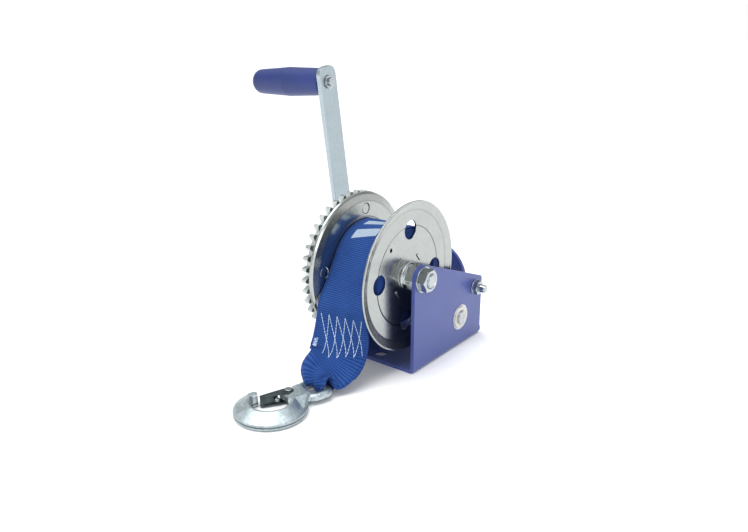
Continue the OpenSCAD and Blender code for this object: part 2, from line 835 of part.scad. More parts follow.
frame();
pinion_bushing_left();
pinion_bushing_right();
drum_bolt();
drum_washer();
drum_nut();
axle_sleeve();
thrust_washers();
drum_spacer_left();
drum_spacer_right();
pawl_bolt();
pawl_washer();
pawl_nut();
pawl_tube();
pawl_rings();
strap_tail();
drum_core();
flange_left();
flange_right();
drum_gear();
gear_rivets();
strap_pin();
strap_roll();
pinion_shaft();
pinion_gear();
shaft_ring();
crank_spacer();
crank_arm();
crank_washer();
crank_nut();
grip_pin();
grip_pin_washer();
grip();
pawl();
pawl_spring();
hook();
latch_rivet();
hook_latch();
latch_spring();
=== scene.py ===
import json
import math

import bmesh
import bpy
import numpy as np
from mathutils import Matrix, Vector


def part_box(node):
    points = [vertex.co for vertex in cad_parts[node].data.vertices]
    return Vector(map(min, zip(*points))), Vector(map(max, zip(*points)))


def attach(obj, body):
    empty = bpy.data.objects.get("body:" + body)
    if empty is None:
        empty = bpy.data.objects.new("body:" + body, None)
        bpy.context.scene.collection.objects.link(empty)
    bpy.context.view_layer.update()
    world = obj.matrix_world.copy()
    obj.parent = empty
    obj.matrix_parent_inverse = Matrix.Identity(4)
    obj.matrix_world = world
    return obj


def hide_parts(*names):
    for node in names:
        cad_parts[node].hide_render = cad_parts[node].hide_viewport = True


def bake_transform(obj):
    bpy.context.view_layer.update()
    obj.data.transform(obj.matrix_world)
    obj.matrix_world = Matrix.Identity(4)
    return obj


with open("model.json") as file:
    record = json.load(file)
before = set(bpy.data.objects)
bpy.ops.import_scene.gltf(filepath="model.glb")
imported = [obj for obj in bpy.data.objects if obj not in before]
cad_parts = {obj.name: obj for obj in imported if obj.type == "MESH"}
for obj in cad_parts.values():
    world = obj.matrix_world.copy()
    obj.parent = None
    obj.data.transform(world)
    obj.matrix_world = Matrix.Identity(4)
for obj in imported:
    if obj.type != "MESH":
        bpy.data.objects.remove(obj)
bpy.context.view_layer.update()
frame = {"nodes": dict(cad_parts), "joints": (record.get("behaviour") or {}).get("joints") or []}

MM = 0.001
scene = bpy.context.scene
nodes = frame["nodes"]
joints = {j["name"]: j for j in frame["joints"]}

# Places taken from the frame, in mm
drum_pos = np.array(joints["drum_spin"]["pos_m"]) / MM
eye_bar = np.array(joints["hook_swing"]["pos_m"]) / MM
roll_low, roll_high = (np.array(c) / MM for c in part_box("strap_roll"))
drum_mid_x = (roll_low[0] + roll_high[0]) / 2
roll_r = (roll_high[2] - roll_low[2]) / 2


# ---------------------------------------------------------------- helpers

def srgb(r, g, b):
    """Linear colour from 0-255 screen values."""
    def lin(c):
        c /= 255
        return c / 12.92 if c <= 0.04045 else ((c + 0.055) / 1.055) ** 2.4
    return (lin(r), lin(g), lin(b), 1.0)


def add_object(name, data):
    obj = bpy.data.objects.new(name, data)
    scene.collection.objects.link(obj)
    return obj


def shade_smooth(mesh):
    for p in mesh.polygons:
        p.use_smooth = True


def add_mesh(name, points, faces, material):
    """A smooth-shaded object from points in metres."""
    mesh = bpy.data.meshes.new(name)
    mesh.from_pydata([tuple(p) for p in points], [], faces)
    mesh.materials.append(material)
    shade_smooth(mesh)
    mesh.update()
    return add_object(name, mesh)


class Mat:
    """A material with a Principled shader and short ways to add nodes."""

    # Noise seldom leaves this range, so it is stretched from here to the range wanted
    NOISE_LOW, NOISE_HIGH = 0.3, 0.7

    def __init__(self, name, **sockets):
        self.mat = bpy.data.materials.new(name)
        self.mat.use_nodes = True
        self.nt = self.mat.node_tree
        self.bsdf = next(n for n in self.nt.nodes if n.type == "BSDF_PRINCIPLED")
        for key, value in sockets.items():
            self.bsdf.inputs[key.replace("_", " ")].default_value = value

    def node(self, kind, **props):
        n = self.nt.nodes.new(kind)
        for key, value in props.items():
            setattr(n, key, value)
        return n

    def feed(self, value, socket):
        """Links an output to the socket, or sets the socket to a plain value."""
        if hasattr(value, "is_linked"):
            self.nt.links.new(value, socket)
        else:
            socket.default_value = value

    def coords(self, scale=(1, 1, 1), turn=(0, 0, 0)):
        m = self.node("ShaderNodeMapping")
        m.inputs["Scale"].default_value = scale
        m.inputs["Rotation"].default_value = turn
        self.feed(self.node("ShaderNodeTexCoord").outputs["Object"], m.inputs["Vector"])
        return m.outputs["Vector"]

    def split(self, vector):
        """The x, y and z of a vector."""
        n = self.node("ShaderNodeSeparateXYZ")
        self.feed(vector, n.inputs[0])
        return tuple(n.outputs)

    def noise(self, scale, detail=3.0, rough=0.5, vector=None):
        n = self.node("ShaderNodeTexNoise")
        n.inputs["Scale"].default_value = scale
        n.inputs["Detail"].default_value = detail
        n.inputs["Roughness"].default_value = rough
        self.feed(vector or self.coords(), n.inputs["Vector"])
        return n.outputs["Fac"]

    def voronoi(self, scale, output="Distance"):
        n = self.node("ShaderNodeTexVoronoi")
        n.inputs["Scale"].default_value = scale
        self.feed(self.coords(), n.inputs["Vector"])
        return n.outputs[output]

    def math(self, op, a, b=0.0, c=0.0):
        n = self.node("ShaderNodeMath", operation=op)
        for i, v in enumerate((a, b, c)):
            self.feed(v, n.inputs[i])
        return n.outputs[0]

    def away(self, value, middle):
        """How far a value is from another, on either side."""
        return self.math("ABSOLUTE", self.math("SUBTRACT", value, middle))

    def remap(self, value, lo, hi, to_lo=0.0, to_hi=1.0):
        n = self.node("ShaderNodeMapRange", clamp=True)
        for i, v in enumerate((value, lo, hi, to_lo, to_hi)):
            self.feed(v, n.inputs[i])
        return n.outputs["Result"]

    def spread(self, noise, to_lo=0.0, to_hi=1.0):
        return self.remap(noise, self.NOISE_LOW, self.NOISE_HIGH, to_lo, to_hi)

    def mix(self, fac, a, b):
        n = self.node("ShaderNodeMix", data_type="RGBA")
        self.feed(fac, n.inputs["Factor"])
        self.feed(a, n.inputs[6])
        self.feed(b, n.inputs[7])
        return n.outputs[2]

    def mottle(self, scale, detail, rough, a, b):
        """Soft clouds of two colours."""
        return self.mix(self.spread(self.noise(scale, detail, rough)), a, b)

    def bump(self, height, distance, strength=1.0, after=None):
        n = self.node("ShaderNodeBump")
        n.inputs["Distance"].default_value = distance
        n.inputs["Strength"].default_value = strength
        self.feed(height, n.inputs["Height"])
        if after is not None:
            self.feed(after, n.inputs["Normal"])
        return n.outputs["Normal"]

    def finish(self, colour, roughness, normal=None):
        self.feed(colour, self.bsdf.inputs["Base Color"])
        self.feed(roughness, self.bsdf.inputs["Roughness"])
        if normal is not None:
            self.feed(normal, self.bsdf.inputs["Normal"])
        return self.mat


# ---------------------------------------------------------------- metals

# colour of the painted shade in the discs' pressed steps
STEP_SHADE = srgb(70, 76, 80)
# colour of the painted shade along the hook's parting line
PARTING_SHADE = srgb(52, 60, 64)
# Rings of painted shade in the drum discs' pressed steps, in m: radius, half width and how dark
PRESSED_STEPS = ((0.0462, 0.0007, 0.75), (0.0604, 0.0012, 0.22))
# Height of the hook's parting line, in m, where painted shade stands in for the shadow of its
# step, with where that starts to fade, where it ends and how dark it is
PARTING_Z = 0.0036
PARTING_FADE, PARTING_END, PARTING_SHADE_DEPTH = 0.0003, 0.0011, 0.85


def zinc(name, light, dark, rough, grain=(1, 1, 1), turn=(0, 0, 0), bump=0.00003,
         blotch=60.0, steps=(), seam_z=None):
    """Zinc-plated steel: cloudy plating, fine grain lines and faint handling marks."""
    m = Mat(name, Metallic=1.0)
    cloud = m.noise(blotch, 5.0, 0.6)
    cell = m.node("ShaderNodeSeparateColor")
    m.feed(m.voronoi(420.0, "Color"), cell.inputs[0])
    lines = m.noise(1400.0, 2.0, 0.6, m.coords(grain, turn))
    marks = m.noise(240.0, 6.0, 0.75, m.coords((1.0, 0.35, 1.0), (0.7, 0.3, 0.5)))
    tone = m.math("ADD", m.math("MULTIPLY", cloud, 0.7),
                  m.math("MULTIPLY", cell.outputs[0], 0.3))
    colour = m.mix(m.remap(tone, 0.22, 0.78), light, dark)
    if steps:
        # painted shade in the pressed steps, at these distances from the drum's axis
        _, y, z = m.split(m.coords())
        dy = m.math("SUBTRACT", y, drum_pos[1] * MM)
        dz = m.math("SUBTRACT", z, drum_pos[2] * MM)
        reach = m.math("SQRT", m.math("ADD", m.math("MULTIPLY", dy, dy),
                                      m.math("MULTIPLY", dz, dz)))
        for at_r, half_width, depth in steps:
            # each ring darkens the zinc towards the painted shade colour
            step_shade = m.remap(m.away(reach, at_r), half_width * 0.3, half_width, depth, 0.0)
            colour = m.mix(step_shade, colour, STEP_SHADE)
    if seam_z is not None:
        # painted shade of the step at a forging's parting line, at this height
        off = m.away(m.split(m.coords())[2], seam_z)
        line = m.remap(off, PARTING_FADE, PARTING_END, PARTING_SHADE_DEPTH, 0.0)
        colour = m.mix(line, colour, PARTING_SHADE)
    shine = m.math("ADD", m.math("MULTIPLY", lines, 0.6), m.math("MULTIPLY", marks, 0.4))
    fine = m.bump(lines, bump)
    return m.finish(colour, m.remap(shine, 0.32, 0.68, *rough),
                    m.bump(cloud, 0.00005, 0.2, fine))


def dark_sheet():
    m = Mat("latch_sheet", Metallic=1.0)
    colour = m.mottle(120.0, 5.0, 0.6, srgb(88, 98, 100), srgb(56, 64, 67))
    lines = m.noise(1500.0, 2.0, 0.6, m.coords((1, 0.1, 1)))
    return m.finish(colour, m.spread(lines, 0.3, 0.45), m.bump(lines, 0.00004))


# ---------------------------------------------------------------- paint, plastic and thread

def powder_coat():
    m = Mat("blue_powder_coat", Coat_Weight=0.25, Coat_Roughness=0.16, IOR=1.5)
    peel = m.noise(900.0, 2.0, 0.5)
    speck = m.voronoi(2600.0)
    colour = m.mottle(22.0, 4.0, 0.55, srgb(63, 79, 148), srgb(57, 72, 139))
    colour = m.mix(m.remap(speck, 0.0, 0.18, 0.12, 0.0), colour, srgb(98, 112, 172))
    return m.finish(colour, m.spread(peel, 0.30, 0.42), m.bump(peel, 0.00006, 0.6))


def plastic():
    m = Mat("grip_plastic", IOR=1.47)
    grain = m.noise(1500.0, 3.0, 0.6)
    scuff = m.noise(160.0, 6.0, 0.8, m.coords((0.3, 1, 1)))
    colour = m.mottle(30.0, 4.0, 0.5, srgb(32, 52, 116), srgb(26, 43, 101))
    colour = m.mix(m.remap(scuff, 0.62, 0.8, 0.0, 0.25), colour, srgb(90, 100, 160))
    return m.finish(colour, m.spread(grain, 0.34, 0.46), m.bump(grain, 0.00005, 0.5))


def thread():
    m = Mat("sewing_thread", Sheen_Weight=0.3, Sheen_Roughness=0.4)
    twist = m.noise(2600.0, 2.0, 0.5, m.coords(turn=(0.6, 0.2, 0.4)))
    colour = m.mottle(90.0, 3.0, 0.5, srgb(196, 212, 232), srgb(160, 182, 216))
    return m.finish(colour, m.spread(twist, 0.55, 0.75), m.bump(twist, 0.0001))


# ---------------------------------------------------------------- webbing material

WEFT = 0.0019      # pitch of the ribs across the strap, in m
WARP = 0.00125     # pitch of the yarn columns along it
WANDER = 0.0009    # how far the ribs stray from straight
INK_EDGE = 0.0006  # soft border of the pale patches
# Each plain pale patch: u and v of its middle, half its width and length, and dv/du of its ends
LABELS = [(-0.0040, 0.1744, 0.0112, 0.0052, -0.35), (-0.0055, 0.1565, 0.0095, 0.0040, -0.35)]


def webbing(name, width, labels=()):
    """Woven polyester strap. UV holds metres: u across from the middle, v along."""
    m = Mat(name, Sheen_Weight=0.06, Sheen_Roughness=0.5, Specular_IOR_Level=0.16)
    u, v, _ = m.split(m.node("ShaderNodeUVMap", uv_map="weave").outputs[0])
    wobble = m.noise(160.0, 2.0, 0.5)
    v_rib = m.math("ADD", v, m.math("MULTIPLY", m.math("SUBTRACT", wobble, 0.5), WANDER))
    # yarn columns, each second one half a radian further along
    column = m.math("DIVIDE", u, WARP)
    odd = m.math("MODULO", m.math("ABSOLUTE", m.math("FLOOR", column)), 2.0)
    yarn = m.math("ABSOLUTE", m.math("SINE", m.math("MULTIPLY", column, math.pi)))
    yarn = m.math("MULTIPLY_ADD", m.math("POWER", yarn, 0.5), 0.3, 0.7)
    phase = m.math("ADD", m.math("MULTIPLY", v_rib, 2 * math.pi / WEFT),
                   m.math("MULTIPLY", odd, 0.5))
    rib = m.math("MULTIPLY_ADD", m.math("SINE", phase), 0.5, 0.5)
    height = m.math("MULTIPLY", yarn, m.math("MULTIPLY_ADD", rib, 0.85, 0.15))
    # smooth woven edge, with painted shade for a groove inside it
    rim = m.math("SUBTRACT", width / 2, m.math("ABSOLUTE", u))
    edge = m.remap(rim, 0.0012, 0.0022, 1.0, 0.0)
    groove_shade = m.math("MULTIPLY", m.remap(rim, 0.0022, 0.0027, 1.0, 0.0),
                    m.remap(rim, 0.0017, 0.0022))
    fuzz = m.noise(2400.0, 3.0, 0.7)
    base = m.mottle(35.0, 4.0, 0.6, srgb(38, 82, 152), srgb(29, 68, 136))
    # painted shade in the hollows between the ribs and yarn columns
    base = m.mix(m.remap(height, 0.1, 0.7, 0.8, 0.0), base, srgb(9, 27, 78))
    base = m.mix(m.remap(fuzz, 0.55, 0.8, 0.0, 0.2), base, srgb(70, 122, 200))
    base = m.mix(m.math("MULTIPLY", edge, 0.3), base, srgb(22, 46, 112))
    # painted shade of the groove inside the woven edge
    base = m.mix(m.math("MULTIPLY", groove_shade, 0.45), base, srgb(10, 24, 70))
    for mid_u, mid_v, half_u, half_v, slant in labels:
        du = m.away(u, mid_u)
        dv = m.away(m.math("MULTIPLY_ADD", u, -slant, v), mid_v - slant * mid_u)
        inside = m.math("MULTIPLY", m.remap(du, half_u, half_u + INK_EDGE, 1.0, 0.0),
                        m.remap(dv, half_v, half_v + INK_EDGE, 1.0, 0.0))
        ink = m.math("MULTIPLY", inside, m.remap(height, 0.1, 0.6, 0.55, 0.95))
        base = m.mix(ink, base, srgb(172, 188, 202))
    relief = m.math("MULTIPLY", height, m.math("SUBTRACT", 1.0, m.math("MULTIPLY", edge, 0.7)))
    normal = m.bump(fuzz, 0.00008, 0.5, m.bump(relief, 0.0005, 0.8))
    return m.finish(base, m.spread(fuzz, 0.62, 0.8), normal)


# ---------------------------------------------------------------- CAD nodes: materials

def paint(names, material):
    for n in names:
        mesh = nodes[n].data
        mesh.materials.clear()
        mesh.materials.append(material)


disc_zinc = zinc("zinc_pressed_disc", srgb(180, 183, 180), srgb(169, 173, 171), (0.17, 0.27),
                 (1, 0.25, 0.25), steps=PRESSED_STEPS)
# the grain runs along the arm, which leans forward by this angle
ARM_LEAN = 0.156
arm_zinc = zinc("zinc_flat_bar", srgb(173, 185, 190), srgb(165, 178, 183), (0.24, 0.36),
                (1, 1, 0.06), (ARM_LEAN, 0, 0))
bolt_zinc = zinc("zinc_fasteners", srgb(190, 196, 198), srgb(172, 178, 181), (0.08, 0.18),
                 (0.15, 1, 1))
gear_zinc = zinc("zinc_gear", srgb(200, 206, 204), srgb(182, 189, 188), (0.28, 0.42),
                 (1, 0.4, 0.4))
forged_zinc = zinc("zinc_forging", srgb(198, 209, 211), srgb(152, 166, 170), (0.28, 0.5),
                   bump=0.00022, blotch=420.0, seam_z=PARTING_Z)
turned_steel = zinc("turned_steel", srgb(206, 208, 208), srgb(150, 153, 155), (0.2, 0.34),
                    (0.1, 1, 1))
bright_zinc = zinc("zinc_turned_bush", srgb(226, 229, 229), srgb(212, 216, 217), (0.12, 0.22),
                   (0.15, 1, 1))
bush_metal = zinc("bush_metal", srgb(214, 214, 210), srgb(190, 190, 186), (0.3, 0.45))

paint(["frame"], powder_coat())
paint(["grip"], plastic())
paint(["hook_latch"], dark_sheet())
paint(["flange_left", "flange_right", "gear_rivets", "drum_core"], disc_zinc)
paint(["drum_gear", "pinion_gear", "pawl"], gear_zinc)
paint(["crank_arm"], arm_zinc)
paint(["hook"], forged_zinc)
paint(["pinion_bushing_left", "pinion_bushing_right"], bush_metal)
paint(["axle_sleeve", "strap_pin", "pinion_shaft", "pawl_spring", "latch_spring", "shaft_ring",
       "pawl_tube"], turned_steel)
paint(["thrust_washers", "drum_spacer_left", "drum_spacer_right"], bright_zinc)
paint(["drum_bolt", "drum_washer", "drum_nut", "pawl_bolt", "pawl_washer", "pawl_nut",
       "pawl_rings", "crank_spacer", "crank_washer", "crank_nut", "grip_pin",
       "grip_pin_washer", "latch_rivet"], bolt_zinc)


# ---------------------------------------------------------------- CAD nodes: soft edges

STRAP_NODES = ("strap_roll", "strap_tail")  # replaced by webbing below
WELD_DISTANCE = 0.000002
FLAT_ANGLE = math.radians(0.3)     # faces closer to one plane than this are joined
BEVEL_ANGLE = math.radians(35)     # edges sharper than this are rounded
STEP_ANGLE = math.radians(10)      # the flanges' pressed steps keep their lines
FORGED_VOXEL = 0.55 * MM
FORGED_PASSES = 9
EDGE_WIDTH = 0.3                   # in mm, where EDGES has no other
EDGES = {
    "frame": 0.5, "crank_arm": 0.5, "grip": 0.4, "flange_left": 0.35, "flange_right": 0.35,
    "pawl": 0.4, "hook_latch": 0.25, "latch_spring": 0.0, "pawl_spring": 0.0,
    "gear_rivets": 0.6,
}


def forged_skin(obj):
    remesh = obj.modifiers.new("forged_skin", "REMESH")
    remesh.mode = "VOXEL"
    remesh.voxel_size = FORGED_VOXEL
    remesh.use_smooth_shade = True
    soften = obj.modifiers.new("forged_edges", "SMOOTH")
    soften.factor = 0.5
    soften.iterations = FORGED_PASSES


def soft_edges(obj, width):
    flat = obj.modifiers.new("flat_faces", "DECIMATE")
    flat.decimate_type = "DISSOLVE"
    flat.angle_limit = FLAT_ANGLE
    if width:
        bevel = obj.modifiers.new("soft_edges", "BEVEL")
        bevel.width = width * MM
        bevel.segments = 3
        bevel.limit_method = "ANGLE"
        bevel.angle_limit = BEVEL_ANGLE


for name, obj in nodes.items():
    if name in STRAP_NODES:
        continue
    shade_smooth(obj.data)
    weld = obj.modifiers.new("weld", "WELD")
    weld.merge_threshold = WELD_DISTANCE
    if name == "hook":
        forged_skin(obj)
        continue
    soft_edges(obj, EDGES.get(name, EDGE_WIDTH))
    if name.startswith("flange"):
        split = obj.modifiers.new("pressed_steps", "EDGE_SPLIT")
        split.split_angle = STEP_ANGLE
    else:
        weighted = obj.modifiers.new("even_shading", "WEIGHTED_NORMAL")
        weighted.mode = "FACE_AREA"


# ---------------------------------------------------------------- webbing: paths and strips

THICK = 1.45       # of the webbing, in mm, as are all lengths below
EDGE_LIFT = 0.28   # half height of the strap's edge columns, as a share of THICK
EDGE_OUT = 0.3     # how far its rounded edge stands out, as a share of THICK


def catmull(rows, per):
    """Smooth curve through rows of numbers, with per steps between neighbours."""
    rows = np.array(rows, float)
    ends = np.vstack([2 * rows[0] - rows[1], rows, 2 * rows[-1] - rows[-2]])
    out = []
    for i in range(1, len(ends) - 2):
        a, b, c, d = ends[i - 1: i + 3]
        for k in range(per):
            t = k / per
            out.append(0.5 * (2 * b + (c - a) * t + (2 * a - 5 * b + 4 * c - d) * t * t
                              + (3 * b - a - 3 * c + d) * t ** 3))
    out.append(rows[-1])
    return np.array(out)


def distances(points):
    """How far along the path through all the points each one lies."""
    return np.concatenate([[0], np.cumsum(np.linalg.norm(np.diff(points, axis=0), axis=1))])


def even(rows, step):
    """The rows again at even distances along the path of their first three numbers."""
    along = distances(rows[:, :3])
    at = np.linspace(0, along[-1], int(along[-1] / step) + 2)
    return np.stack([np.interp(at, along, rows[:, k]) for k in range(rows.shape[1])], axis=1)


def ribbon(name, grid, normals, us, vs, material):
    """A closed thin strip: grid is (along, across, 3) in mm, with a rounded edge each side."""
    n, m = grid.shape[:2]
    lift = np.full(m, THICK / 2)
    lift[0] = lift[-1] = THICK * EDGE_LIFT
    top = grid + normals * lift[None, :, None]
    low = grid - normals * lift[None, :, None]

    def rounded(last, before):
        step = last - before
        return last + step / np.linalg.norm(step, axis=1)[:, None] * THICK * EDGE_OUT

    out = rounded(grid[:, -1], grid[:, -2])
    inn = rounded(grid[:, 0], grid[:, 1])
    ring = np.concatenate([top, out[:, None], low[:, ::-1], inn[:, None]], axis=1)
    u_ring = np.concatenate([us, [us[-1]], us[::-1], [us[0]]])
    k = ring.shape[1]
    faces, uvs = [], []
    for i in range(n - 1):
        for j in range(k):
            j2 = (j + 1) % k
            faces.append((i * k + j, i * k + j2, (i + 1) * k + j2, (i + 1) * k + j))
            uvs += [(u_ring[j], vs[i]), (u_ring[j2], vs[i]),
                    (u_ring[j2], vs[i + 1]), (u_ring[j], vs[i + 1])]
    # the two cut ends, in quads between top and low and a triangle at each rounded edge
    for i, flip in ((0, True), (n - 1, False)):
        for j in range(m - 1):
            q = [i * k + j, i * k + j + 1, i * k + 2 * m - 1 - j, i * k + 2 * m - j]
            faces.append(tuple(q[::-1] if flip else q))
            uvs += [(us[j], vs[i])] * 4
        tri_out = [i * k + m - 1, i * k + m, i * k + m + 1]
        tri_in = [i * k + 2 * m, i * k + 2 * m + 1, i * k]
        for t in (tri_out, tri_in):
            faces.append(tuple(t[::-1] if flip else t))
            uvs += [(us[0], vs[i])] * 3
    obj = add_mesh(name, ring.reshape(-1, 3) * MM, faces, material)
    layer = obj.data.uv_layers.new(name="weave")
    layer.data.foreach_set("uv", (np.array(uvs, float) * MM).ravel().astype(np.float32))
    bm = bmesh.new()
    bm.from_mesh(obj.data)
    bmesh.ops.recalc_face_normals(bm, faces=bm.faces)
    bm.to_mesh(obj.data)
    bm.free()
    return obj


# ---------------------------------------------------------------- wound strap

# One long spiral between the core and the outer turn
TURNS = 12
TURN_STEPS = 90
ROLL_W = 49.4
ROLL_COLUMNS = 9
CORE_GAP = 0.95                    # between the core and the innermost turn
END_ANGLE = math.radians(-110)     # where the outermost turn ends
DRIFT, DRIFT_KNOTS = 0.3, 40       # the turns don't lie quite in line

core_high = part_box("drum_core")[1].z / MM - drum_pos[2]
inner_r = core_high + CORE_GAP + THICK / 2
outer_r = roll_r - THICK / 2
roll_rows = TURNS * TURN_STEPS + 1
angle = np.linspace(0, TURNS * 2 * math.pi, roll_rows)
radius = np.linspace(inner_r, outer_r, roll_rows)
theta = END_ANGLE - angle[-1] + angle
spiral = np.stack([np.full(roll_rows, drum_mid_x), drum_pos[1] + radius * np.cos(theta),
                   drum_pos[2] + radius * np.sin(theta)], axis=1)
along = distances(spiral)
rng = np.random.default_rng(7)
across = np.linspace(-ROLL_W / 2, ROLL_W / 2, ROLL_COLUMNS)
drift = np.interp(along, np.linspace(0, along[-1], DRIFT_KNOTS),
                  rng.uniform(-DRIFT, DRIFT, DRIFT_KNOTS))
grid = spiral[:, None, :] + np.zeros((1, ROLL_COLUMNS, 1))
grid[:, :, 0] += across[None, :] + drift[:, None]
out_n = np.stack([np.zeros(roll_rows), np.cos(theta), np.sin(theta)], axis=1)
normals = np.repeat(out_n[:, None, :], ROLL_COLUMNS, axis=1)
roll_cloth = ribbon("strap_wound", grid, normals, across, along,
                    webbing("webbing_roll", ROLL_W * MM))
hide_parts("strap_roll")


# ---------------------------------------------------------------- free end of the strap

# Once round the roll, down the front, round the eye's bar and up behind itself
WRAP_GAP = 0.1
WRAP_W = 49.6
WRAP_DEGREES = range(-108, 151, 6)
CURVE_STEPS = 12                   # between two of the stations below
ROW_STEP = 1.2
ACROSS = 33
HALF_W = 25
FOLD_WAVE, FOLD_SHIFT = 7.5, 0.6   # wave of the small folds across the strap

WRAP_R = roll_r + WRAP_GAP + THICK / 2
wrap = []
for deg in WRAP_DEGREES:
    a = math.radians(deg)
    wrap.append([drum_mid_x, drum_pos[1] + WRAP_R * math.cos(a),
                 drum_pos[2] + WRAP_R * math.sin(a), 0, WRAP_W, 0, 0])
bx, by = eye_bar[:2]
free = [
    # x, y, z, turn in degrees, width, arch, fold
    [4.0, -101.6, 90.5, 1, 49.6, 0, 0],
    [4.0, -111.2, 73.0, 5, 49.8, 0, 0],
    [4.0, -112.2, 60.0, 11, 50, 0, 0],
    [4.3, -113.6, 48.0, 19, 50, 0, 0],
    [5.0, -116.6, 37.0, 29, 50, -0.6, 0],
    [5.2, -121.5, 28.4, 36, 50, -1.6, 0.1],
    [3.8, -130.0, 21.8, 39, 47, -0.6, 0.5],
    [0.6, -137.5, 17.8, 34, 39, 3.0, 1.1],
    [1.5, -142.0, 14.2, 16, 28, 4.4, 1.4],
    [bx - 0.9, by - 4.8, 10.6, -8, 21, 3.2, 1.2],
    [bx - 0.5, by - 5.6, 6.5, -14, 13.5, 1.0, 0.6],
    [bx - 0.2, by - 4.0, 2.6, -14, 12.0, 0.3, 0.2],
    [bx, by, 1.2, -14, 12.0, 0, 0],
    [bx + 0.2, by + 4.2, 2.8, -12, 13.5, -0.3, 0.3],
    [bx + 0.4, by + 8.4, 7.6, -6, 20, -1, 0.6],
    [bx + 0.8, by + 11.4, 13.0, 22, 30, -1, 0.9],
]
path = even(catmull(wrap + free, CURVE_STEPS), ROW_STEP)
tangent = np.gradient(path[:, :3], axis=0)
tangent /= np.linalg.norm(tangent, axis=1)[:, None]
turn = np.radians(path[:, 3])
side = np.stack([np.cos(turn), np.sin(turn), np.zeros(len(turn))], axis=1)
side -= tangent * (side * tangent).sum(1)[:, None]
side /= np.linalg.norm(side, axis=1)[:, None]
face = np.cross(tangent, side)     # points away from the drum
w = np.linspace(-1, 1, ACROSS)
half = path[:, 4] / 2
arch = path[:, 5][:, None] * (1 - w[None, :] ** 2)
folds = path[:, 6][:, None] * np.sin(w[None, :] * FOLD_WAVE + FOLD_SHIFT)
tail_grid = (path[:, None, :3] + side[:, None, :] * (half[:, None] * w[None, :])[:, :, None]
             + face[:, None, :] * (arch + folds)[:, :, None])


def outward(rows, like):
    """Unit normals of a grid of points, on the same side as the directions in like."""
    n = np.cross(np.gradient(rows, axis=0), np.gradient(rows, axis=1))
    n = n / np.linalg.norm(n, axis=2)[:, :, None]
    return -n if (n[:len(like)] * like).sum() < 0 else n


# The turned-back layer lies just behind the front one and is sewn to it
LAYER_GAP = THICK + 0.4
BACK_LOW, BACK_HIGH = 25, 64       # heights between which it lies
FRONT_SHARE = 0.85                 # the front layer is in this first part of the path
JOIN_REACH, JOIN_STEPS = 7, 8      # rows that lead the bend into it, and steps of the bend

front_n = outward(tail_grid, face[:, None, :])
hanging = [i for i in range(len(path))
           if path[i, 1] < drum_pos[1] - roll_r and BACK_LOW <= path[i, 2] <= BACK_HIGH
           and i < len(path) * FRONT_SHARE]
back_rows = (tail_grid - front_n * LAYER_GAP)[hanging][::-1]
knots = [tail_grid[-1 - JOIN_REACH], tail_grid[-1], back_rows[0], back_rows[JOIN_REACH]]
joining = catmull([k.ravel() for k in knots], JOIN_STEPS)
joining = joining[JOIN_STEPS + 1: 2 * JOIN_STEPS].reshape(-1, ACROSS, 3)
tail_grid = np.concatenate([tail_grid, joining, back_rows])
at = distances(tail_grid[:, ACROSS // 2])
tail_n = outward(tail_grid, front_n)
tail_u = np.linspace(-HALF_W, HALF_W, ACROSS)
tail_cloth = ribbon("strap_free_end", tail_grid, tail_n, tail_u, at,
                    webbing("webbing_tail", 0.050, LABELS))
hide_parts("strap_tail")


# ---------------------------------------------------------------- stitches

THREAD_R = 0.36
THREAD_SIDES = 6
STITCH, STITCH_GAP = 2.9, 0.25
SHORTEST = 0.8                     # a run ends rather than have a stitch shorter than this
# Along one stitch: place, share of the thread's radius and height over the strap
STITCH_FORM = ((0, 0.35, -0.25), (0.12, 0.85, 0.05), (0.5, 1, 0.16), (0.88, 0.85, 0.05),
               (1, 0.35, -0.25))


def column_at(u):
    """Place among the strap's columns of points, for u across in mm."""
    return (u + HALF_W) / (2 * HALF_W) * (ACROSS - 1)


def on_strap(u, v, lift):
    """Point and outward normal of the free end's outer face, at u across and v along, in mm."""
    i = np.clip(np.interp(v, at, np.arange(len(at))), 0, len(at) - 1.001)
    j = np.clip(column_at(u), 0, ACROSS - 1.001)
    i0, j0 = int(i), int(j)
    fi, fj = i - i0, j - j0

    def four(g):
        return ((g[i0, j0] * (1 - fi) + g[i0 + 1, j0] * fi) * (1 - fj)
                + (g[i0, j0 + 1] * (1 - fi) + g[i0 + 1, j0 + 1] * fi) * fj)
    n = four(tail_n)
    return four(tail_grid) + n * (THICK / 2 + lift), n


def v_at_height(u, z):
    """Distance along the free end where its front layer passes height z, at u across."""
    j = int(round(column_at(u)))
    for i in hanging:
        if tail_grid[i, j, 2] <= z:
            return at[i]
    return at[hanging[-1]]


